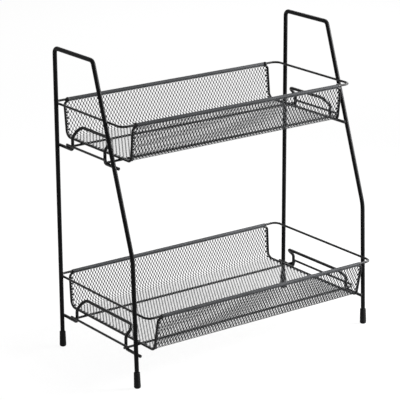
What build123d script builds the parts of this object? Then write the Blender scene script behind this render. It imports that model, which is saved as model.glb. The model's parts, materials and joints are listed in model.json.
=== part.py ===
"""Two-tier wire rack with a mesh basket on each tier.

Millimetres, +Z up. The origin is on the table, in the middle of the rack's footprint.
X runs along the baskets, -Y is the front, where the lower basket stands further out.
"""
from dataclasses import dataclass
from math import atan2, degrees
import os

from build123d import *

# Wire diameters, heaviest first
frame_wire = 5.5
stop_wire = 4.0
rim_wire = 3.0
grid_wire = 3.0

# Burr taken off each cut wire end
end_chamfer = 0.35

# Side frames: one bent wire each, with a handle on top
frame_spacing = 359.2
handle_height = 390.0
handle_depth = 84.6
knee_height = 162.9
knee_depth = 162.6
front_foot_depth = 168.8
handle_bend = 6.5
knee_bend = 50.0

# Push-on rubber feet
foot_length = 20.5
foot_top_diameter = 7.6
foot_bottom_diameter = 8.6
foot_floor = 3.0
foot_bottom_round = 2.2
foot_top_round = 0.8
foot_bore_clearance = 0.02

# Rims: closed rings of wire, welded to the inner faces of the posts
rim_bend = 8.6
lower_rim_height = 93.1
upper_rim_height = 319.0
lower_rim_back = 11.4
upper_rim_back = 13.3
lower_rim_front = 186.4
upper_rim_front = 138.1

# Mesh trays: one openwork sheet bent to a trough, open at both ends
tray_depth = 46.3
tray_end_gap = 15.65
sheet_thickness = 0.6
floor_back = 8.4
lower_floor_front = 176.8
upper_floor_front = 133.1
tray_back_bend = 9.0
tray_front_bend = 7.0

# The trays' openings, as a coarse grid that runs on over the bends
mesh_columns = 12
lower_mesh_rows = 11
upper_mesh_rows = 9
mesh_bar = 4.0
mesh_margin = 5.5

# Bindings: strips rolled round the rim that pinch the tray's top edges
binding_thickness = 0.75
binding_lip = 1.2
binding_end_gap = 5.5
binding_seat = 0.1

# End wires: they edge the tray's open ends and tuck in under the rim
end_wire_bend = 4.5

# End stops: arches that keep things from sliding out of the open ends
stop_rise = 27.8
stop_knee_rise = 16.3
stop_lean = 11.7
stop_back = 28.1
lower_stop_front = 138.2
upper_stop_front = 99.9
stop_base_bend = 4.0
stop_knee_bend = 8.0
stop_top_bend = 9.0
stop_tail = 2.5
# How far past the base bends the support wires lie on the feet of the stops
support_seat = 0.5
upper_front_support_seat = 4.1


@dataclass
class Tier:
    """What differs between the two baskets."""

    name: str
    rim_height: float
    rim_back: float
    rim_front: float
    floor_front: float
    stop_front: float
    front_seat: float
    mesh_rows: int


lower = Tier("lower", lower_rim_height, lower_rim_back, lower_rim_front, lower_floor_front,
             lower_stop_front, support_seat, lower_mesh_rows)
upper = Tier("upper", upper_rim_height, upper_rim_back, upper_rim_front, upper_floor_front,
             upper_stop_front, upper_front_support_seat, upper_mesh_rows)
tiers = (lower, upper)
sides = {"left": -1, "right": 1}

# Places worked out from the sizes above
post_x = frame_spacing / 2
binding_radius = rim_wire / 2 + binding_thickness
back_reach = max(tier.rim_back for tier in tiers) + binding_radius
front_reach = max(tier.rim_front for tier in tiers) + binding_radius
back_post_y = (front_reach - back_reach) / 2
rim_x = post_x - frame_wire / 2 - rim_wire / 2
tray_length = 2 * (rim_x - tray_end_gap)
binding_length = tray_length - 2 * binding_end_gap
stop_foot_x = post_x - frame_wire / 2 - stop_wire / 2
stop_top_x = stop_foot_x - stop_lean
run_to_foot = stop_wire / 2 + grid_wire / 2
tuck_drop = rim_wire / 2 + grid_wire / 2


def front_leg_y(height):
    """The front leg's centre line at a height: steep below the knee, sloping back above it."""
    if height < knee_height:
        depth = front_foot_depth + (knee_depth - front_foot_depth) * height / knee_height
    else:
        rise_share = (height - knee_height) / (handle_height - knee_height)
        depth = knee_depth + (handle_depth - knee_depth) * rise_share
    return back_post_y - depth


def floor_height(tier):
    """Centre of the tray's floor, and of the end wires along it."""
    return tier.rim_height - tray_depth


def run_height(tier):
    """Centre of the support wires that the tray's end wires lie on."""
    return floor_height(tier) - grid_wire


def run_places(tier):
    """Where the two support wires lie on the end stops' feet, outside the legs."""
    back = back_post_y - stop_back + stop_base_bend + support_seat
    front = back_post_y - tier.stop_front - stop_base_bend - tier.front_seat
    return {"back": back, "front": front}


def wall_lines(tier):
    """Each tray wall as its rim point and the tray floor's corner, in Y and Z."""
    back = (Vector(back_post_y + tier.rim_back, tier.rim_height),
            Vector(back_post_y + floor_back, floor_height(tier)))
    front = (Vector(back_post_y - tier.rim_front, tier.rim_height),
             Vector(back_post_y - tier.floor_front, floor_height(tier)))
    return {"back": back, "front": front}


def wall_tilt(top, bottom):
    """Turn, in degrees, that stands a wall's cross-section upright profile along the wall."""
    return degrees(atan2(bottom.X - top.X, top.Y - bottom.Y))


def down_wall(top, bottom, distance):
    """The point a distance down a wall from its rim."""
    return top + (bottom - top).normalized() * distance


def sweep_wire(path, diameter):
    """Sweep a round wire along a path, inside the piece that is being built."""
    with BuildSketch(Plane(origin=path @ 0, z_dir=path % 0)) as section:
        Circle(diameter / 2)
    sweep(section.sketch, path=path)


def save(piece, name):
    """Label a finished piece and write it out."""
    piece.part.label = name
    export_step(piece.part, f"parts/{name}.step")


os.makedirs("parts", exist_ok=True)

# Side frames: back foot, up the back post, over the handle and down the front leg
leg_bottom_y = front_leg_y(foot_floor)
handle_front_y = back_post_y - handle_depth
for side_name, side in sides.items():
    with BuildPart() as side_frame:
        with BuildLine() as frame_path:
            FilletPolyline(
                (side * post_x, back_post_y, foot_floor),
                (side * post_x, back_post_y, handle_height),
                (side * post_x, handle_front_y, handle_height),
                (side * post_x, back_post_y - knee_depth, knee_height),
                (side * post_x, leg_bottom_y, foot_floor),
                radius=[handle_bend, handle_bend, knee_bend],
            )
        sweep_wire(frame_path.line, frame_wire)
    save(side_frame, f"{side_name}_side_frame")

# Feet: a blind rubber sleeve on each post, cut flat where it stands on the table
back_leg_axis = Vector(0, 0, 1)
front_leg_axis = Vector(0, front_foot_depth - knee_depth, knee_height).normalized()
foot_places = {
    "back": (back_post_y, back_leg_axis),
    "front": (back_post_y - front_foot_depth, front_leg_axis),
}
for side_name, side in sides.items():
    for place_name, (foot_y, leg_axis) in foot_places.items():
        foot_origin = Vector(side * post_x, foot_y, 0)
        across = Vector(1, 0, 0)
        with BuildPart() as foot:
            with BuildSketch(Plane(origin=foot_origin, x_dir=across, z_dir=across.cross(leg_axis))):
                with BuildLine():
                    Polyline(
                        (0, -foot_floor),
                        (foot_bottom_diameter / 2, -foot_floor),
                        (foot_bottom_diameter / 2, 0),
                        (foot_top_diameter / 2, foot_length),
                        (0, foot_length),
                        close=True,
                    )
                make_face()
            revolve(axis=Axis(foot_origin, leg_axis))
            fillet(foot.edges().filter_by(GeomType.CIRCLE).sort_by(Axis.Z)[-1], foot_top_round)
            split(bisect_by=Plane.XY, keep=Keep.TOP)
            fillet(foot.faces().sort_by(Axis.Z)[0].edges(), foot_bottom_round)
            with BuildSketch(Plane(origin=foot_origin + leg_axis * foot_floor, z_dir=leg_axis)):
                Circle(frame_wire / 2 + foot_bore_clearance)
            extrude(amount=foot_length, mode=Mode.SUBTRACT)
        save(foot, f"{side_name}_{place_name}_foot")

for tier in tiers:
    rim_back_y = back_post_y + tier.rim_back
    rim_front_y = back_post_y - tier.rim_front
    walls = wall_lines(tier)
    floor_z = floor_height(tier)

    # Rim: one wire bent to a rounded rectangle and butt welded into a ring
    with BuildPart() as rim:
        with BuildLine() as rim_path:
            FilletPolyline(
                (rim_x, rim_back_y, tier.rim_height),
                (-rim_x, rim_back_y, tier.rim_height),
                (-rim_x, rim_front_y, tier.rim_height),
                (rim_x, rim_front_y, tier.rim_height),
                radius=rim_bend,
                close=True,
            )
        sweep_wire(rim_path.line, rim_wire)
    save(rim, f"{tier.name}_rim_wire")

    # Bindings: rolled round the rim, with two lips that pinch the sheet
    for wall_name, (wall_top, wall_bottom) in walls.items():
        tilt = wall_tilt(wall_top, wall_bottom)
        with BuildPart() as binding:
            with BuildSketch(Plane.YZ.offset(-binding_length / 2)):
                with Locations((wall_top.X, wall_top.Y)):
                    Circle(binding_radius)
                    Rectangle(
                        sheet_thickness + 2 * binding_thickness,
                        rim_wire / 2 + binding_lip,
                        rotation=tilt,
                        align=(Align.CENTER, Align.MAX),
                    )
                    Circle(rim_wire / 2, mode=Mode.SUBTRACT)
                    Rectangle(
                        sheet_thickness,
                        rim_wire + binding_lip,
                        rotation=tilt,
                        align=(Align.CENTER, Align.MAX),
                        mode=Mode.SUBTRACT,
                    )
            extrude(amount=binding_length)
        save(binding, f"{tier.name}_{wall_name}_binding")

    # Mesh tray: back wall, floor and front wall in one bent sheet
    sheet_drop = rim_wire / 2 + binding_seat
    sheet_back_top = down_wall(*walls["back"], sheet_drop)
    sheet_front_top = down_wall(*walls["front"], sheet_drop)
    sheet_length = tray_length - grid_wire
    column_pitch = (sheet_length - 2 * mesh_margin + mesh_bar) / mesh_columns
    first_column_x = mesh_margin - sheet_length / 2
    opening_planes = [Plane.YZ.offset(first_column_x + column * column_pitch)
                      for column in range(mesh_columns)]
    tip_x = binding_length / 2
    relief_x = tray_length / 2 - end_wire_bend
    relief_z = tier.rim_height - tuck_drop - end_wire_bend
    tip_z = tier.rim_height - tuck_drop - grid_wire / 2
    with BuildPart() as tray:
        with BuildSketch(Plane.YZ.offset(-sheet_length / 2)):
            with BuildLine() as trough:
                FilletPolyline(
                    (sheet_back_top.X, sheet_back_top.Y),
                    (walls["back"][1].X, floor_z),
                    (walls["front"][1].X, floor_z),
                    (sheet_front_top.X, sheet_front_top.Y),
                    radius=[tray_back_bend, tray_front_bend],
                )
            trace(trough.line, line_width=sheet_thickness)
        extrude(amount=sheet_length)
        # Rounded top corners, inside the bend of the end wires and under their tips
        for side in sides.values():
            inward = Align.MIN if side > 0 else Align.MAX
            with BuildSketch(Plane.XZ):
                with Locations((side * relief_x, relief_z)):
                    Rectangle(2 * end_wire_bend, 2 * end_wire_bend, align=(inward, Align.MIN))
                    Circle(end_wire_bend - grid_wire / 2, mode=Mode.SUBTRACT)
                with Locations((side * tip_x, tip_z)):
                    Rectangle(end_wire_bend, end_wire_bend, align=(inward, Align.MIN))
            extrude(amount=front_reach, both=True, mode=Mode.SUBTRACT)
        # Openings, row by row along the bent profile
        profile = trough.wire()
        row_pitch = (profile.length - 2 * mesh_margin + mesh_bar) / tier.mesh_rows
        for row in range(tier.mesh_rows):
            row_start = mesh_margin + row * row_pitch
            row_end = row_start + row_pitch - mesh_bar
            opening_profile = profile.trim(row_start / profile.length, row_end / profile.length)
            with BuildSketch(*opening_planes):
                trace(opening_profile, line_width=3 * sheet_thickness)
            extrude(amount=column_pitch - mesh_bar, mode=Mode.SUBTRACT)
    save(tray, f"{tier.name}_mesh_tray")

    # End wires: down the back wall, along the floor and up the front wall, tips tucked in
    back_tip = down_wall(*walls["back"], tuck_drop)
    front_tip = down_wall(*walls["front"], tuck_drop)
    for side_name, side in sides.items():
        end_x = side * tray_length / 2
        with BuildPart() as end_wire:
            with BuildLine() as end_path:
                FilletPolyline(
                    (side * tip_x, back_tip.X, back_tip.Y),
                    (end_x, back_tip.X, back_tip.Y),
                    (end_x, walls["back"][1].X, floor_z),
                    (end_x, walls["front"][1].X, floor_z),
                    (end_x, front_tip.X, front_tip.Y),
                    (side * tip_x, front_tip.X, front_tip.Y),
                    radius=[end_wire_bend, tray_back_bend, tray_front_bend, end_wire_bend],
                )
            sweep_wire(end_path.line, grid_wire)
        save(end_wire, f"{tier.name}_{side_name}_mesh_end_wire")

    # Support wires: two straight wires under the tray, from side frame to side frame
    runs = run_places(tier)
    run_reach = post_x + grid_wire / 2
    for place_name, run_y in runs.items():
        with BuildPart() as support:
            with BuildSketch(Plane.YZ.offset(-run_reach)):
                with Locations((run_y, run_height(tier))):
                    Circle(grid_wire / 2)
            extrude(amount=2 * run_reach)
            chamfer(support.faces().filter_by(Axis.X).edges(), end_chamfer)
        save(support, f"{tier.name}_{place_name}_support_wire")

    # Cross bars: they tie the ends of the two support wires, in line with the posts
    bar_back_y = runs["back"] + grid_wire / 2
    bar_front_y = runs["front"] - grid_wire / 2
    bar_z = run_height(tier) + grid_wire
    for side_name, side in sides.items():
        with BuildPart() as cross_bar:
            with BuildSketch(Plane.XZ.offset(-bar_back_y)):
                with Locations((side * post_x, bar_z)):
                    Circle(grid_wire / 2)
            extrude(amount=bar_back_y - bar_front_y)
            chamfer(cross_bar.faces().filter_by(Axis.Y).edges(), end_chamfer)
        save(cross_bar, f"{tier.name}_{side_name}_cross_bar")

    # End stops: foot along the posts, leg up and leaning in over the tray, bar, and back down
    foot_z = run_height(tier) - run_to_foot
    knee_z = foot_z + stop_knee_rise
    top_z = foot_z + stop_rise
    back_leg_y = back_post_y - stop_back
    front_stop_y = back_post_y - tier.stop_front
    for side_name, side in sides.items():
        foot_x = side * stop_foot_x
        top_x = side * stop_top_x
        with BuildPart() as end_stop:
            with BuildLine() as stop_path:
                FilletPolyline(
                    (foot_x, back_post_y + stop_tail, foot_z),
                    (foot_x, back_leg_y, foot_z),
                    (foot_x, back_leg_y, knee_z),
                    (top_x, back_leg_y, top_z),
                    (top_x, front_stop_y, top_z),
                    (foot_x, front_stop_y, knee_z),
                    (foot_x, front_stop_y, foot_z),
                    (foot_x, front_leg_y(foot_z) - stop_tail, foot_z),
                    radius=[stop_base_bend, stop_knee_bend, stop_top_bend,
                            stop_top_bend, stop_knee_bend, stop_base_bend],
                )
            sweep_wire(stop_path.line, stop_wire)
            wire_ends = end_stop.faces().filter_by(GeomType.PLANE)
            chamfer(wire_ends.edges(), end_chamfer)
        save(end_stop, f"{tier.name}_{side_name}_end_stop")
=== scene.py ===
"""Looks of the two-tier wire rack: its mesh trays, weld beads, coatings, feet and studio.

Metres, +Z up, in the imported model's frame. X runs along the baskets and -Y is the front,
where the lower basket stands further out.
"""
import sys
import json
import logging
import math
from dataclasses import dataclass, field
from enum import Enum

import bmesh
import bpy
from mathutils import Matrix, Vector

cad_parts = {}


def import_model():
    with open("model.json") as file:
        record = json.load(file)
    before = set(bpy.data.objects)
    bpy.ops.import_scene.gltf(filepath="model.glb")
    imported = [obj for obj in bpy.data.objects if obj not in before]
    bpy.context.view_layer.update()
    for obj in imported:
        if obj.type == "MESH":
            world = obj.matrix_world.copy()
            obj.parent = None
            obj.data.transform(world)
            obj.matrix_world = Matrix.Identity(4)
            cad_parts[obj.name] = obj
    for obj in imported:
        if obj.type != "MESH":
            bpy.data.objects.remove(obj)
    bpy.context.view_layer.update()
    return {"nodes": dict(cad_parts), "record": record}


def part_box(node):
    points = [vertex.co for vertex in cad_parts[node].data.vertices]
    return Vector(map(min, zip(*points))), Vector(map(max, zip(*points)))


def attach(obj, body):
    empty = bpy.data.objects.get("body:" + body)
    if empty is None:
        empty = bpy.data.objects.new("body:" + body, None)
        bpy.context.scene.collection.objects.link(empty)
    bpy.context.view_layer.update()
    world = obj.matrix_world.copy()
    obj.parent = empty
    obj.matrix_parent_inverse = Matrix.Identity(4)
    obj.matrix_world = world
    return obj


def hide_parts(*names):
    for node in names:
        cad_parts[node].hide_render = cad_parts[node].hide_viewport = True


Colour = tuple[float, float, float]
Point = tuple[float, float, float]

MM = 0.001
X_AXIS = Vector((1.0, 0.0, 0.0))
Y_AXIS = Vector((0.0, 1.0, 0.0))
Z_AXIS = Vector((0.0, 0.0, 1.0))
WHITE = (1.0, 1.0, 1.0, 1.0)
# The point behind the rack's middle that the camera and most lamps face
VIEW_CENTRE: Point = (0.0523, 0.1062, 0.1464)
log = logging.getLogger("wire_rack")


class Side(Enum):
    """Left or right end of the rack, with the sign of its X."""

    LEFT = -1
    RIGHT = 1


class Slot(Enum):
    """The record's material slots."""

    FRAME_WIRE = "coated_frame_wire"
    THIN_WIRE = "coated_thin_wire"
    BINDING = "binding_strip"
    MESH = "steel_mesh"
    FOOT = "foot_rubber"


def add_object(name: str, data: bpy.types.ID) -> bpy.types.Object:
    """Make an object and link it to the scene.

    Args:
        name: The object's name.
        data: Its mesh, lamp or camera.

    Returns:
        The new object, at the origin.
    """
    made = bpy.data.objects.new(name, data)
    bpy.context.scene.collection.objects.link(made)
    return made


# Shader building


class Signal:
    """A shader socket that takes part in Python arithmetic."""

    def __init__(self, sheet: "ShaderSheet", socket: bpy.types.NodeSocket) -> None:
        """Keep the socket and the sheet that adds nodes after it.

        Args:
            sheet: The shader sheet that the socket is on.
            socket: The output socket.
        """
        self.sheet = sheet
        self.socket = socket

    def _math(self, operation: str, first: "Signal | float", second: "Signal | float") -> "Signal":
        """Add one Math node.

        Args:
            operation: What the node does.
            first: Its first input.
            second: Its second input.

        Returns:
            The node's output.
        """
        node = self.sheet.node("ShaderNodeMath", {"operation": operation}, {0: first, 1: second})
        return Signal(self.sheet, node.outputs[0])

    def __add__(self, other: "Signal | float") -> "Signal":
        """Sum with a signal or a number."""
        return self._math("ADD", self, other)

    def __rsub__(self, other: float) -> "Signal":
        """A number less this signal."""
        return self._math("SUBTRACT", other, self)

    def __mul__(self, other: "Signal | float") -> "Signal":
        """Product with a signal or a number."""
        return self._math("MULTIPLY", self, other)

    def band(self, low: float, high: float) -> "Signal":
        """Rise smoothly from 0 at low to 1 at high.

        Args:
            low: Input value that gives 0.
            high: Input value that gives 1.

        Returns:
            The smoothed mask.
        """
        settings = {"interpolation_type": "SMOOTHSTEP"}
        inputs = {0: self, 1: low, 2: high, 3: 0.0, 4: 1.0}
        node = self.sheet.node("ShaderNodeMapRange", settings, inputs)
        return Signal(self.sheet, node.outputs[0])


class ShaderSheet:
    """A material's or the world's node tree, with short ways to add nodes to it."""

    def __init__(self, tree: bpy.types.NodeTree) -> None:
        """Empty the tree and keep it.

        Args:
            tree: The node tree to fill.
        """
        self.tree = tree
        self.tree.nodes.clear()

    def node(self, kind: str, settings: dict[str, object],
             inputs: dict[int | str, object]) -> bpy.types.Node:
        """Add a node, set it up, then fill or link its sockets.

        Args:
            kind: The node's type.
            settings: Its own properties, set first.
            inputs: Socket name or number to a value, a signal or a socket.

        Returns:
            The new node.
        """
        made = self.tree.nodes.new(kind)
        for key, value in settings.items():
            setattr(made, key, value)
        for key, value in inputs.items():
            if isinstance(value, Signal):
                value = value.socket
            if isinstance(value, bpy.types.NodeSocket):
                self.tree.links.new(value, made.inputs[key])
            else:
                made.inputs[key].default_value = value
        return made

    def place(self) -> bpy.types.NodeSocket:
        """Object coordinates, in metres."""
        return self.node("ShaderNodeTexCoord", {}, {}).outputs["Object"]

    def stretched(self, factors: Point) -> bpy.types.NodeSocket:
        """Object coordinates, scaled apart along X, Y and Z.

        Args:
            factors: The scale along each axis.

        Returns:
            The coordinates' socket.
        """
        node = self.node("ShaderNodeMapping", {}, {"Vector": self.place(), "Scale": factors})
        return node.outputs["Vector"]

    def noise(self, grain: float, detail: float,
              vector: bpy.types.NodeSocket | None = None) -> Signal:
        """Cloudy noise with a real grain size.

        Args:
            grain: Size of one cloud, in metres.
            detail: Octaves of finer noise.
            vector: Coordinates to read, or None for the object's own.

        Returns:
            The noise, about 0.5 on average.
        """
        inputs = {"Vector": vector or self.place(), "Scale": 1.0 / grain, "Detail": detail}
        node = self.node("ShaderNodeTexNoise", {}, inputs)
        return Signal(self, node.outputs["Fac"])

    def cells(self, grain: float) -> Signal:
        """Distance to the nearest of scattered points.

        Args:
            grain: Usual distance between points, in metres.

        Returns:
            The distance, in shares of the grain.
        """
        inputs = {"Vector": self.place(), "Scale": 1.0 / grain}
        node = self.node("ShaderNodeTexVoronoi", {}, inputs)
        return Signal(self, node.outputs["Distance"])

    def mix(self, mask: Signal, low: Colour, high: Colour) -> bpy.types.NodeSocket:
        """Blend two colours by a mask.

        Args:
            mask: 0 shows low and 1 shows high.
            low: The first colour.
            high: The second colour.

        Returns:
            The blended colour's socket.
        """
        inputs = {"Factor": mask, 6: (*low, 1.0), 7: (*high, 1.0)}
        return self.node("ShaderNodeMix", {"data_type": "RGBA"}, inputs).outputs[2]

    def bump(self, height: Signal, depth: float, strength: float) -> bpy.types.NodeSocket:
        """Turn a height into a surface normal.

        Args:
            height: The height signal, 0 to 1.
            depth: Real height of 1, in metres.
            strength: Share of the full effect.

        Returns:
            The normal's socket.
        """
        inputs = {"Height": height, "Distance": depth, "Strength": strength}
        return self.node("ShaderNodeBump", {}, inputs).outputs["Normal"]

    def coat(self, colour: bpy.types.NodeSocket, roughness: Signal, gloss: float,
             normal: bpy.types.NodeSocket) -> bpy.types.NodeSocket:
        """The shader of an opaque coated surface.

        Args:
            colour: Its colour.
            roughness: Its roughness.
            gloss: Strength of its mirror sheen, where 0.5 is usual.
            normal: Its bumped normal.

        Returns:
            The shader's socket.
        """
        inputs = {
            "Base Color": colour,
            "Roughness": roughness,
            "Specular IOR Level": gloss,
            "Normal": normal,
        }
        return self.node("ShaderNodeBsdfPrincipled", {}, inputs).outputs["BSDF"]

    def seen(self) -> Signal:
        """Tell what is seen from what lights.

        Returns:
            1 for rays that see, straight, by gloss or through glass, and 0 for those that light.
        """
        rays = self.node("ShaderNodeLightPath", {}, {}).outputs
        straight = Signal(self, rays["Is Camera Ray"])
        by_gloss = Signal(self, rays["Is Glossy Ray"])
        return straight + by_gloss + Signal(self, rays["Is Transmission Ray"])


# Finishes


@dataclass(frozen=True)
class Finish:
    """A surface that can be made into a material."""

    name: str

    def shader(self, sheet: ShaderSheet) -> bpy.types.NodeSocket:
        """Add this surface's nodes.

        Args:
            sheet: The sheet that takes the nodes.

        Returns:
            The shader's socket.
        """
        raise NotImplementedError

    def material(self) -> bpy.types.Material:
        """Build the material.

        Returns:
            The new material.
        """
        made = bpy.data.materials.new(self.name)
        made.use_nodes = True
        sheet = ShaderSheet(made.node_tree)
        sheet.node("ShaderNodeOutputMaterial", {}, {"Surface": self.shader(sheet)})
        return made


@dataclass(frozen=True)
class PowderCoat(Finish):
    """Black powder coat, as baked on wire: orange peel, slow clouds and a little dust."""

    colour: Colour
    dust_colour: Colour
    roughness: float
    gloss: float
    roughness_swing: float = 0.1
    cloud_grain: float = 35.0 * MM
    cloud_detail: float = 3.0
    fade_band: tuple[float, float] = (0.3, 0.8)
    fade_share: float = 0.25
    dust_grain: float = 2.6 * MM
    dust_speck_band: tuple[float, float] = (0.04, 0.16)
    dust_patch_band: tuple[float, float] = (0.5, 0.7)
    dust_share: float = 0.35
    dust_roughness: float = 0.3
    peel_grain: float = 0.9 * MM
    peel_detail: float = 1.0
    peel_depth: float = 0.03 * MM
    peel_strength: float = 0.6

    def shader(self, sheet: ShaderSheet) -> bpy.types.NodeSocket:
        """Add this surface's nodes.

        Args:
            sheet: The sheet that takes the nodes.

        Returns:
            The shader's socket.
        """
        cloud = sheet.noise(self.cloud_grain, self.cloud_detail)
        specks = 1.0 - sheet.cells(self.dust_grain).band(*self.dust_speck_band)
        dust = specks * cloud.band(*self.dust_patch_band) * self.dust_share
        fade = cloud.band(*self.fade_band) * self.fade_share
        peel = sheet.noise(self.peel_grain, self.peel_detail)
        least_roughness = self.roughness - self.roughness_swing / 2
        clean_roughness = cloud * self.roughness_swing + least_roughness
        return sheet.coat(
            sheet.mix(fade + dust, self.colour, self.dust_colour),
            clean_roughness + dust * self.dust_roughness,
            self.gloss,
            sheet.bump(peel, self.peel_depth, self.peel_strength),
        )


@dataclass(frozen=True)
class RolledStrip(Finish):
    """Strip drawn through rollers: faint streaks along X; its grey is painted sheen on a black
    coat.
    """

    # The black coat raised to grey as painted sheen; the streak colour is paler still
    colour: Colour
    painted_sheen_streak_colour: Colour
    roughness: float
    gloss: float
    streak_grain: float = 0.8 * MM
    streak_detail: float = 3.0
    streak_stretch: float = 0.02
    streak_band: tuple[float, float] = (0.35, 0.7)
    streak_share: float = 0.7
    streak_roughness: float = 0.12
    streak_depth: float = 0.02 * MM
    streak_strength: float = 0.5
    cloud_grain: float = 45.0 * MM
    cloud_detail: float = 2.0
    cloud_share: float = 0.3
    cloud_roughness: float = 0.1

    def shader(self, sheet: ShaderSheet) -> bpy.types.NodeSocket:
        """Add this surface's nodes.

        Args:
            sheet: The sheet that takes the nodes.

        Returns:
            The shader's socket.
        """
        along = sheet.stretched((self.streak_stretch, 1.0, 1.0))
        streaks = sheet.noise(self.streak_grain, self.streak_detail, along)
        cloud = sheet.noise(self.cloud_grain, self.cloud_detail)
        # Real roll streaks, drawn in a paler grey that is also painted sheen
        mask = streaks.band(*self.streak_band) * self.streak_share + cloud * self.cloud_share
        least_roughness = self.roughness - (self.streak_roughness + self.cloud_roughness) / 2
        uneven = streaks * self.streak_roughness + cloud * self.cloud_roughness
        return sheet.coat(
            sheet.mix(mask, self.colour, self.painted_sheen_streak_colour),
            uneven + least_roughness,
            self.gloss,
            sheet.bump(streaks, self.streak_depth, self.streak_strength),
        )


@dataclass(frozen=True)
class SoftRubber(Finish):
    """Matt dipped rubber with a fine grain and paler scuffs near the table."""

    colour: Colour
    scuff_colour: Colour
    roughness: float
    gloss: float
    grain: float = 0.35 * MM
    grain_detail: float = 2.0
    grain_share: float = 0.1
    grain_roughness: float = 0.1
    grain_depth: float = 0.05 * MM
    grain_strength: float = 0.5
    scuff_grain: float = 1.8 * MM
    scuff_detail: float = 3.0
    scuff_band: tuple[float, float] = (0.45, 0.65)
    scuff_share: float = 0.6
    scuff_roughness: float = 0.1
    scuff_height: float = 3.0 * MM

    def shader(self, sheet: ShaderSheet) -> bpy.types.NodeSocket:
        """Add this surface's nodes.

        Args:
            sheet: The sheet that takes the nodes.

        Returns:
            The shader's socket.
        """
        split = sheet.node("ShaderNodeSeparateXYZ", {}, {"Vector": sheet.place()})
        height = Signal(sheet, split.outputs["Z"])
        patches = sheet.noise(self.scuff_grain, self.scuff_detail)
        near_table = 1.0 - height.band(0.0, self.scuff_height)
        scuffs = near_table * patches.band(*self.scuff_band)
        grain = sheet.noise(self.grain, self.grain_detail)
        least_roughness = self.roughness - self.grain_roughness / 2
        uneven = scuffs * self.scuff_roughness + grain * self.grain_roughness
        pale = scuffs * self.scuff_share + grain * self.grain_share
        return sheet.coat(
            sheet.mix(pale, self.colour, self.scuff_colour),
            uneven + least_roughness,
            self.gloss,
            sheet.bump(grain, self.grain_depth, self.grain_strength),
        )


@dataclass(frozen=True)
class PaperWhite(Finish):
    """The floor's paper: nearly plain white to the eye, so that only a faint shadow shows."""

    colour: Colour
    veil: float

    def shader(self, sheet: ShaderSheet) -> bpy.types.NodeSocket:
        """Add this surface's nodes.

        Args:
            sheet: The sheet that takes the nodes.

        Returns:
            The shader's socket.
        """
        paper = sheet.node("ShaderNodeBsdfDiffuse", {}, {"Color": (*self.colour, 1.0)})
        glow = sheet.node("ShaderNodeEmission", {}, {"Color": WHITE, "Strength": 1.0})
        inputs = {0: sheet.seen() * self.veil, 1: paper.outputs[0], 2: glow.outputs[0]}
        return sheet.node("ShaderNodeMixShader", {}, inputs).outputs[0]


DARK_DUST: Colour = (0.012, 0.012, 0.013)
FRAME_COAT = PowderCoat(
    "frame_powder_coat",
    colour=(0.0018, 0.0018, 0.002),
    dust_colour=DARK_DUST,
    roughness=0.42,
    gloss=0.06,
)
THIN_WIRE_COAT = PowderCoat(
    "thin_wire_powder_coat",
    colour=(0.003, 0.003, 0.0033),
    dust_colour=DARK_DUST,
    roughness=0.38,
    gloss=0.15,
    peel_grain=0.6 * MM,
)
MESH_COAT = PowderCoat(
    "mesh_powder_coat",
    colour=(0.01, 0.0105, 0.0115),
    dust_colour=(0.035, 0.037, 0.04),
    roughness=0.42,
    gloss=0.12,
    peel_grain=0.4 * MM,
    peel_depth=0.015 * MM,
)
BINDING_COAT_WITH_PAINTED_SHEEN = RolledStrip(
    "binding_coat_painted_sheen",
    # Grey instead of black: a painted sheen on the strip's black coat
    colour=(0.02, 0.021, 0.022),
    painted_sheen_streak_colour=(0.042, 0.043, 0.046),
    roughness=0.5,
    gloss=0.04,
)
FOOT_RUBBER = SoftRubber(
    "foot_rubber",
    colour=(0.003, 0.003, 0.0033),
    scuff_colour=(0.02, 0.02, 0.02),
    roughness=0.75,
    gloss=0.1,
)
FLOOR_PAPER = PaperWhite("floor_paper", colour=(0.86, 0.86, 0.86), veil=0.92)


@dataclass
class Wardrobe:
    """Every finish of the rack, by material slot."""

    materials: dict[Slot, bpy.types.Material] = field(default_factory=dict)

    def fill(self) -> None:
        """Make one material for each slot."""
        finishes = {
            Slot.FRAME_WIRE: FRAME_COAT,
            Slot.THIN_WIRE: THIN_WIRE_COAT,
            Slot.MESH: MESH_COAT,
            Slot.BINDING: BINDING_COAT_WITH_PAINTED_SHEEN,
            Slot.FOOT: FOOT_RUBBER,
        }
        for slot, finish in finishes.items():
            self.materials[slot] = finish.material()

    def dress_nodes(self, nodes: dict[str, bpy.types.Object], record: dict) -> None:
        """Give each carried-over CAD node the finish of its slot.

        Args:
            nodes: The frame's nodes by name.
            record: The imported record, which names each node's slot.
        """
        for entry in record["subparts"]:
            slot = Slot(entry["material_slot"])
            node = nodes[entry["node"]]
            for place in node.material_slots:
                place.material = self.materials[slot]
            log.info("%s dressed in %s", entry["node"], self.materials[slot].name)

    def dress_piece(self, piece: bpy.types.Object, slot: Slot) -> None:
        """Give a new piece the finish of a slot.

        Args:
            piece: The new piece.
            slot: The slot that its material fills.
        """
        piece.data.materials.append(self.materials[slot])


# Wires and their places


@dataclass(frozen=True)
class Wires:
    """Diameters of the rack's wires."""

    frame: float = 5.5 * MM
    stop: float = 4.0 * MM
    rim: float = 3.0 * MM
    grid: float = 3.0 * MM


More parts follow.
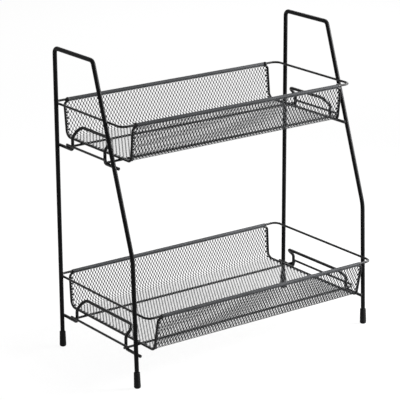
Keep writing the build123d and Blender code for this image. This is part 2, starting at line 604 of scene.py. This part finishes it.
@dataclass(frozen=True)
class SideFrames:
    """The two bent frames: where their posts stand and their front legs lean."""

    post_x: float = 179.6 * MM
    handle_height: float = 390.0 * MM
    handle_depth: float = 84.6 * MM
    knee_height: float = 162.9 * MM
    knee_depth: float = 162.6 * MM
    foot_depth: float = 168.8 * MM

    def back_post_y(self) -> float:
        """Centre of the back posts, from the frame's own box."""
        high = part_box("left_side_frame")[1]
        return high.y - Wires().frame / 2

    def front_leg_y(self, height: float) -> float:
        """Centre of a front leg at a height.

        Args:
            height: Z above the table.

        Returns:
            The Y of the leg's centre line.
        """
        if height < self.knee_height:
            share = height / self.knee_height
            depth = self.foot_depth + (self.knee_depth - self.foot_depth) * share
        else:
            share = (height - self.knee_height) / (self.handle_height - self.knee_height)
            depth = self.knee_depth + (self.handle_depth - self.knee_depth) * share
        return self.back_post_y() - depth


@dataclass(frozen=True)
class Straight:
    """A straight stretch of a bent profile, in Y and Z."""

    start: Vector
    heading: Vector
    length: float

    def at(self, distance: float) -> tuple[Vector, Vector]:
        """Go a distance along.

        Args:
            distance: Way from the stretch's start.

        Returns:
            The point and the heading there.
        """
        return self.start + self.heading * distance, self.heading


@dataclass(frozen=True)
class Bend:
    """A round stretch of a bent profile, in Y and Z."""

    centre: Vector
    arm: Vector
    turn: float

    @property
    def length(self) -> float:
        """Length along the arc."""
        return abs(self.turn) * self.arm.length

    def at(self, distance: float) -> tuple[Vector, Vector]:
        """Go a distance along.

        Args:
            distance: Way from the stretch's start.

        Returns:
            The point and the heading there.
        """
        swung = Matrix.Rotation(self.turn * distance / self.length, 2) @ self.arm
        sense = math.copysign(1.0, self.turn)
        return self.centre + swung, Vector((-swung.y, swung.x)).normalized() * sense


class Trough:
    """A tray's bent profile: back wall, bend, floor, bend, front wall."""

    def __init__(self, corners: list[Vector], radii: list[float]) -> None:
        """Lay out the stretches from rim to rim.

        Args:
            corners: Back rim, back floor corner, front floor corner and front rim, in Y and Z.
            radii: Bend radius at each floor corner.
        """
        self.stretches: list[Straight | Bend] = []
        start = corners[0]
        for index, radius in enumerate(radii, start=1):
            before = (corners[index] - corners[index - 1]).normalized()
            after = (corners[index + 1] - corners[index]).normalized()
            turn = math.atan2(before.x * after.y - before.y * after.x, before.dot(after))
            reach = radius * math.tan(abs(turn) / 2)
            bend_start = corners[index] - before * reach
            inward = Vector((-before.y, before.x)) * math.copysign(radius, turn)
            self.stretches.append(Straight(start, before, (bend_start - start).length))
            self.stretches.append(Bend(bend_start + inward, -inward, turn))
            start = corners[index] + after * reach
        last = corners[-1] - start
        self.stretches.append(Straight(start, last.normalized(), last.length))

    @property
    def length(self) -> float:
        """Developed length from rim to rim."""
        return sum(stretch.length for stretch in self.stretches)

    def place(self, distance: float, lift: float) -> Vector:
        """Find a point of the bent sheet.

        Args:
            distance: Way along the profile from the back rim.
            lift: Height over the sheet's middle, outwards.

        Returns:
            The point, in Y and Z.
        """
        index, left = 0, distance
        while left > self.stretches[index].length and index < len(self.stretches) - 1:
            left -= self.stretches[index].length
            index += 1
        point, heading = self.stretches[index].at(left)
        return point + Vector((-heading.y, heading.x)) * lift


# Meshes


@dataclass(frozen=True)
class BeadSize:
    """Size of one kind of weld bead: half its length, and its radius across."""

    half_length: float
    radius: float


class Workpiece:
    """A mesh being made, with the steps that several pieces share."""

    def __init__(self) -> None:
        """Start empty."""
        self.bm = bmesh.new()

    def repeat(self, count: int, step: Vector) -> None:
        """Lay copies of all faces in a row, each batch as large as what is there.

        Args:
            count: Copies in all, with the first.
            step: Way from one copy to the next.
        """
        faces_each = len(self.bm.faces)
        made = 1
        while made < count:
            batch = min(made, count - made)
            self.bm.faces.ensure_lookup_table()
            chosen = self.bm.faces[:faces_each * batch]
            copied = bmesh.ops.duplicate(self.bm, geom=chosen)
            verts = [item for item in copied["geom"] if isinstance(item, bmesh.types.BMVert)]
            bmesh.ops.translate(self.bm, verts=verts, vec=step * made)
            made += batch

    def merge(self, distance: float) -> None:
        """Join vertices that lie on each other.

        Args:
            distance: The furthest apart that they may be.
        """
        bmesh.ops.remove_doubles(self.bm, verts=self.bm.verts[:], dist=distance)

    def cut(self, point: Vector, outward: Vector, near: Vector | None = None,
            reach: float = 0.0) -> None:
        """Cut off what lies beyond a plane.

        Args:
            point: A point on the plane.
            outward: The side that is cut away.
            near: Cut only faces around this point, or None for all.
            reach: How far around that point, in metres.
        """
        faces = self.bm.faces[:]
        if near is not None:
            faces = [face for face in faces if (face.calc_center_median() - near).length < reach]
        edges = {edge for face in faces for edge in face.edges}
        verts = {vert for face in faces for vert in face.verts}
        bmesh.ops.bisect_plane(self.bm, geom=[*verts, *edges, *faces], dist=1e-7, plane_co=point,
                               plane_no=outward, clear_outer=True)

    def drop_crumbs(self, fewest: int) -> None:
        """Delete bits that the cuts left loose.

        Args:
            fewest: Islands with fewer faces than this go.
        """
        unseen = set(self.bm.faces)
        while unseen:
            island = {unseen.pop()}
            shore = list(island)
            while shore:
                face = shore.pop()
                for edge in face.edges:
                    for other in edge.link_faces:
                        if other in unseen:
                            unseen.discard(other)
                            island.add(other)
                            shore.append(other)
            if len(island) < fewest:
                bmesh.ops.delete(self.bm, geom=list(island), context="FACES")

    def thicken(self, thickness: float) -> None:
        """Give the flat sheet a thickness, centred on where it was.

        Args:
            thickness: The sheet's thickness.
        """
        bmesh.ops.solidify(self.bm, geom=self.bm.faces[:], thickness=thickness)
        heights = [vert.co.z for vert in self.bm.verts]
        middle = (max(heights) + min(heights)) / 2
        bmesh.ops.translate(self.bm, verts=self.bm.verts[:], vec=Z_AXIS * -middle)

    def bead(self, centre: Vector, along: Vector, size: BeadSize, detail: int) -> None:
        """Add a smooth blob of weld or coating.

        Args:
            centre: Its middle.
            along: Its long axis.
            size: Its half length and radius.
            detail: Subdivisions of the ball that it starts from.
        """
        turn = along.to_track_quat("Z", "Y").to_matrix().to_4x4()
        shape = Matrix.Diagonal((size.radius, size.radius, size.half_length, 1.0))
        bmesh.ops.create_icosphere(self.bm, subdivisions=detail, radius=1.0,
                                   matrix=Matrix.Translation(centre) @ turn @ shape)

    def finish(self, name: str) -> bpy.types.Object:
        """Make the object, smooth shaded, and put it in the scene.

        Args:
            name: The piece's name.

        Returns:
            The new object.
        """
        bmesh.ops.recalc_face_normals(self.bm, faces=self.bm.faces[:])
        for face in self.bm.faces:
            face.smooth = True
        mesh = bpy.data.meshes.new(name)
        self.bm.to_mesh(mesh)
        self.bm.free()
        return add_object(name, mesh)


@dataclass(frozen=True)
class ExpandedMesh:
    """The expanded steel: its cells, strands and cut edges."""

    across: float
    along: float = 7.3 * MM
    strand_width: float = 0.92 * MM
    strand_lift: float = 0.1 * MM
    bond_length: float = 2.4 * MM
    gauge: float = 0.24 * MM
    # Cells past the edges, which the trimming takes off again
    spare_cells: int = 2
    merge_share: float = 0.02
    # Smaller bits than this fall out when the edges are trimmed
    fewest_faces: int = 20
    # Directions of the cuts that round a corner, and how far around it they reach, in radii
    corner_angles: tuple[float, ...] = (20.0, 45.0, 70.0)
    corner_reach: float = 2.5


@dataclass(frozen=True)
class WeldSizes:
    """Sizes of the coated welds and of the nubs on the mesh's edges."""

    post: BeadSize = BeadSize(2.3 * MM, 1.15 * MM)
    crossing: BeadSize = BeadSize(1.3 * MM, 1.0 * MM)
    stop_foot: BeadSize = BeadSize(1.6 * MM, 1.2 * MM)
    rim: BeadSize = BeadSize(2.0 * MM, 1.1 * MM)
    rim_inset: float = 3.2 * MM
    # The drop of coating at a binding's end, and how far it stands out past the rim's centre
    drop_inset: float = 4.6 * MM
    drop_reach: float = 2.1 * MM
    nub: BeadSize = BeadSize(2.1 * MM, 1.5 * MM)
    nub_inset: float = 2.6 * MM
    detail: int = 3
    nub_detail: int = 1


@dataclass
class Basket:
    """One tier: its rim, trough and grid wires, with the visual pieces that dress it."""

    tier: str
    floor_front: float
    stop_front: float
    front_run_to_leg: float
    drop_radius: float
    sheet: ExpandedMesh
    frames: SideFrames
    wires: Wires = Wires()
    welds: WeldSizes = WeldSizes()
    floor_back: float = 8.4 * MM
    back_bend: float = 9.0 * MM
    front_bend: float = 7.0 * MM
    end_wire_bend: float = 4.5 * MM
    sheet_drop: float = 1.6 * MM
    stop_back: float = 28.1 * MM
    back_run_to_leg: float = 4.5 * MM

    def __post_init__(self) -> None:
        """Read the places of rim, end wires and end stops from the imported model."""
        low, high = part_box(f"{self.tier}_rim_wire")
        self.rim_height = (low.z + high.z) / 2
        self.rim_back_y = high.y - self.wires.rim / 2
        self.rim_front_y = low.y + self.wires.rim / 2
        low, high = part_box(f"{self.tier}_right_mesh_end_wire")
        self.floor_height = low.z + self.wires.grid / 2
        self.end_x = high.x - self.wires.grid / 2
        low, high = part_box(f"{self.tier}_right_end_stop")
        self.stop_foot_x = high.x - self.wires.stop / 2
        self.stop_foot_height = low.z + self.wires.stop / 2

    def trough(self) -> Trough:
        """The tray's profile between the rim's centre lines."""
        back_y = self.frames.back_post_y()
        corners = [
            Vector((self.rim_back_y, self.rim_height)),
            Vector((back_y + self.floor_back, self.floor_height)),
            Vector((back_y - self.floor_front, self.floor_height)),
            Vector((self.rim_front_y, self.rim_height)),
        ]
        return Trough(corners, [self.back_bend, self.front_bend])

    def _knot(self, work: Workpiece, x: float, way: float, half_across: float,
              half_along: float) -> None:
        """Add one bond of the expanded sheet and the two strands that leave its far side.

        Args:
            work: The flat sheet being made.
            x: The bond's place across.
            way: The bond's place along the sheet.
            half_across: Half a cell, across.
            half_along: Half a cell, along.
        """
        width, lift = self.sheet.strand_width, self.sheet.strand_lift
        half_bond = self.sheet.bond_length / 2
        far_end = half_along - half_bond
        bond_right = [(0, -half_bond, 0), (width, -half_bond, lift),
                      (width, half_bond, lift), (0, half_bond, 0)]
        bond_left = [(-width, -half_bond, -lift), (0, -half_bond, 0),
                     (0, half_bond, 0), (-width, half_bond, -lift)]
        strand_right = [(0, half_bond, 0), (width, half_bond, lift),
                        (half_across, far_end, 0), (half_across - width, far_end, -lift)]
        strand_left = [(-width, half_bond, -lift), (0, half_bond, 0),
                       (width - half_across, far_end, lift), (-half_across, far_end, 0)]
        for outline in (bond_right, bond_left, strand_right, strand_left):
            corners = [work.bm.verts.new((x + across, way + along, height))
                       for across, along, height in outline]
            work.bm.faces.new(corners)

    def _lay_cells(self, work: Workpiece, length: float) -> tuple[int, float]:
        """Lay out the flat sheet's cells, past its edges on every side.

        Args:
            work: The flat sheet being made.
            length: Developed length of the trough.

        Returns:
            How many cells lie along the sheet, and the length of one.
        """
        way_long = length - 2 * self.sheet_drop
        columns = round(2 * self.end_x / self.sheet.across)
        rows = round(way_long / self.sheet.along)
        across, along = 2 * self.end_x / columns, way_long / rows
        self._knot(work, 0.0, 0.0, across / 2, along / 2)
        self._knot(work, across / 2, along / 2, across / 2, along / 2)
        work.repeat(rows + self.sheet.spare_cells, Y_AXIS * along)
        work.repeat(columns + self.sheet.spare_cells, X_AXIS * across)
        spare = self.sheet.spare_cells / 2
        start = Vector((-self.end_x - spare * across, self.sheet_drop - spare * along, 0.0))
        bmesh.ops.translate(work.bm, verts=work.bm.verts[:], vec=start)
        work.merge(self.sheet.strand_width * self.sheet.merge_share)
        return rows, along

    def _trim(self, work: Workpiece, length: float) -> None:
        """Cut the flat sheet to its edges, with round corners inside the end wires' bends.

        Args:
            work: The flat sheet being made.
            length: Developed length of the trough.
        """
        for side in Side:
            work.cut(X_AXIS * side.value * self.end_x, X_AXIS * side.value)
        work.cut(Y_AXIS * self.sheet_drop, -Y_AXIS)
        work.cut(Y_AXIS * (length - self.sheet_drop), Y_AXIS)
        tuck = (self.wires.rim + self.wires.grid) / 2
        radius = self.end_wire_bend
        for side in Side:
            for way, inward in ((tuck, 1), (length - tuck, -1)):
                x = side.value * (self.end_x - radius)
                centre = Vector((x, way + inward * radius, 0.0))
                for angle in self.sheet.corner_angles:
                    turn = math.radians(angle)
                    outward = Vector((side.value * math.cos(turn), -inward * math.sin(turn), 0.0))
                    reach = self.sheet.corner_reach * radius
                    work.cut(centre + outward * radius, outward, centre, reach)
        work.drop_crumbs(self.sheet.fewest_faces)

    def mesh_tray(self) -> bpy.types.Object:
        """Expand, cut, thicken and bend the steel mesh.

        Returns:
            The tray as one openwork mesh with the nubs of its welded edges.
        """
        trough = self.trough()
        length = trough.length
        work = Workpiece()
        rows, along = self._lay_cells(work, length)
        self._trim(work, length)
        work.thicken(self.sheet.gauge)
        nub_x = self.end_x - self.welds.nub_inset
        for row in range(1, rows):
            for side in Side:
                centre = Vector((side.value * nub_x, self.sheet_drop + row * along, 0.0))
                work.bead(centre, X_AXIS, self.welds.nub, self.welds.nub_detail)
        for vert in work.bm.verts:
            y, z = trough.place(vert.co.y, vert.co.z)
            vert.co = Vector((vert.co.x, y, z))
        piece = work.finish(f"{self.tier}_expanded_mesh")
        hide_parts(f"{self.tier}_mesh_tray")
        return piece

    def _welds_at(self, side: Side) -> list[tuple[Vector, Vector, BeadSize]]:
        """List the welds at one end of the tier.

        Args:
            side: The end.

        Returns:
            Each weld's middle, long axis and size.
        """
        def spot(x: float, y: float, height: float) -> Vector:
            """A point at this end, from its distance to the middle of the rack."""
            return Vector((side.value * x, y, height))

        welds, back_y, post_x = self.welds, self.frames.back_post_y(), self.frames.post_x
        seam_x = post_x - self.wires.frame / 2
        seam_height = self.floor_height - self.wires.grid / 2
        run_back_y = back_y - self.stop_back + self.back_run_to_leg
        run_front_y = back_y - self.stop_front - self.front_run_to_leg
        found = []
        for height in (self.rim_height, self.stop_foot_height):
            for y in (back_y, self.frames.front_leg_y(height)):
                found.append((spot(seam_x, y, height), Y_AXIS, welds.post))
        for y in (run_back_y, run_front_y):
            stop_top = self.stop_foot_height + self.wires.stop / 2
            found.append((spot(post_x, y, seam_height), X_AXIS, welds.crossing))
            found.append((spot(self.end_x, y, seam_height), X_AXIS, welds.crossing))
            found.append((spot(self.stop_foot_x, y, stop_top), X_AXIS, welds.stop_foot))
        drop = BeadSize(self.drop_radius, self.drop_radius)
        drop_shift = self.drop_radius - welds.drop_reach
        for rim_y, drop_y in ((self.rim_back_y, self.rim_back_y - drop_shift),
                              (self.rim_front_y, self.rim_front_y + drop_shift)):
            under_rim = self.rim_height - self.wires.rim / 2
            found.append((spot(self.end_x - welds.rim_inset, rim_y, under_rim), X_AXIS, welds.rim))
            drop_x = self.end_x - welds.drop_inset
            found.append((spot(drop_x, drop_y, self.rim_height), X_AXIS, drop))
        return found

    def weld_beads(self) -> bpy.types.Object:
        """The small coated welds where this tier's wires meet the posts and each other."""
        work = Workpiece()
        for side in Side:
            for centre, axis, size in self._welds_at(side):
                work.bead(centre, axis, size, self.welds.detail)
        return work.finish(f"{self.tier}_weld_beads")

    def build(self, wardrobe: Wardrobe) -> None:
        """Make and dress this tier's visual pieces, which move with the rack's only body.

        Args:
            wardrobe: The finishes.
        """
        for piece, slot in ((self.mesh_tray(), Slot.MESH), (self.weld_beads(), Slot.THIN_WIRE)):
            wardrobe.dress_piece(piece, slot)
            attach(piece, "root")
            log.info("%s has %d faces", piece.name, len(piece.data.polygons))


# Studio


@dataclass(frozen=True)
class Softbox:
    """A rectangular soft lamp that faces a point."""

    name: str
    position: Point
    size: tuple[float, float]
    power: float
    spread: float = math.pi
    aim: Point = VIEW_CENTRE

    def light(self) -> None:
        """Hang the lamp."""
        lamp = bpy.data.lights.new(self.name, "AREA")
        lamp.shape = "RECTANGLE"
        lamp.size, lamp.size_y = self.size
        lamp.energy = self.power
        lamp.spread = self.spread
        holder = add_object(self.name, lamp)
        place = Vector(self.position)
        holder.location = place
        holder.rotation_euler = (Vector(self.aim) - place).to_track_quat("-Z", "Y").to_euler()


SOFTBOXES = (
    Softbox("overhead_softbox", (0.2, 0.1, 2.2), (1.8, 1.4), 12.0),
    Softbox("back_right_softbox", (1.5, 1.4, 1.1), (1.4, 0.9), 20.0),
    Softbox("right_softbox", (0.9, -0.45, 0.55), (0.5, 0.5), 12.0,
            spread=math.radians(80.0), aim=(0.3, -0.05, 0.2)),
)


@dataclass(frozen=True)
class Studio:
    """White room, lamps and the photograph's camera."""

    azimuth: float = math.radians(36.037)
    pitch: float = math.radians(17.669)
    roll: float = math.radians(-0.258)
    distance: float = 2.505
    aim: Point = VIEW_CENTRE
    lens: float = 169.23
    sensor: float = 36.0
    floor_reach: float = 12.0
    floor_edges: int = 96
    room_light: float = 0.4

    def floor(self) -> None:
        """Lay the white floor."""
        bm = bmesh.new()
        bmesh.ops.create_circle(bm, cap_ends=True, segments=self.floor_edges,
                                radius=self.floor_reach)
        mesh = bpy.data.meshes.new("floor")
        bm.to_mesh(mesh)
        bm.free()
        floor = add_object("floor", mesh)
        mesh.materials.append(FLOOR_PAPER.material())

    def world(self) -> None:
        """White all round: full white to the eye, softer as light."""
        world = bpy.data.worlds.new("white_room")
        bpy.context.scene.world = world
        world.use_nodes = True
        sheet = ShaderSheet(world.node_tree)
        range_inputs = {"Value": sheet.seen(), "To Min": self.room_light, "To Max": 1.0}
        level = sheet.node("ShaderNodeMapRange", {}, range_inputs).outputs["Result"]
        white = sheet.node("ShaderNodeBackground", {}, {"Color": WHITE, "Strength": level})
        sheet.node("ShaderNodeOutputWorld", {}, {"Surface": white.outputs[0]})

    def camera(self) -> None:
        """Stand the camera where the photograph was taken from."""
        ahead = Vector((
            math.sin(self.azimuth) * math.cos(self.pitch),
            math.cos(self.azimuth) * math.cos(self.pitch),
            -math.sin(self.pitch),
        ))
        level_right = Vector((math.cos(self.azimuth), -math.sin(self.azimuth), 0.0))
        level_up = level_right.cross(ahead)
        right = level_right * math.cos(self.roll) + level_up * math.sin(self.roll)
        up = level_up * math.cos(self.roll) - level_right * math.sin(self.roll)
        data = bpy.data.cameras.new("photo_camera")
        data.lens = self.lens
        data.sensor_width = self.sensor
        data.clip_end = 2 * self.floor_reach
        holder = add_object("photo_camera", data)
        turn = Matrix((right, up, -ahead)).transposed().to_4x4()
        holder.matrix_world = Matrix.Translation(Vector(self.aim) - ahead * self.distance) @ turn
        bpy.context.scene.camera = holder

    def build(self) -> None:
        """Set up the whole room."""
        bpy.context.scene.view_settings.view_transform = "Standard"
        self.camera()
        self.floor()
        self.world()
        for softbox in SOFTBOXES:
            softbox.light()


def main() -> None:
    """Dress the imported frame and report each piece."""
    logging.basicConfig(level=logging.INFO, format="%(name)s: %(message)s", stream=sys.stdout)
    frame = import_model()
    Studio().build()
    wardrobe = Wardrobe()
    wardrobe.fill()
    wardrobe.dress_nodes(frame["nodes"], frame["record"])
    frames = SideFrames()
    lower = Basket(
        "lower",
        floor_front=176.8 * MM,
        stop_front=138.2 * MM,
        front_run_to_leg=4.5 * MM,
        drop_radius=2.25 * MM,
        sheet=ExpandedMesh(across=4.3 * MM),
        frames=frames,
    )
    upper = Basket(
        "upper",
        floor_front=133.1 * MM,
        stop_front=99.9 * MM,
        front_run_to_leg=8.1 * MM,
        drop_radius=2.9 * MM,
        sheet=ExpandedMesh(across=4.65 * MM),
        frames=frames,
    )
    for basket in (lower, upper):
        basket.build(wardrobe)


if __name__ == "__main__":
    main()
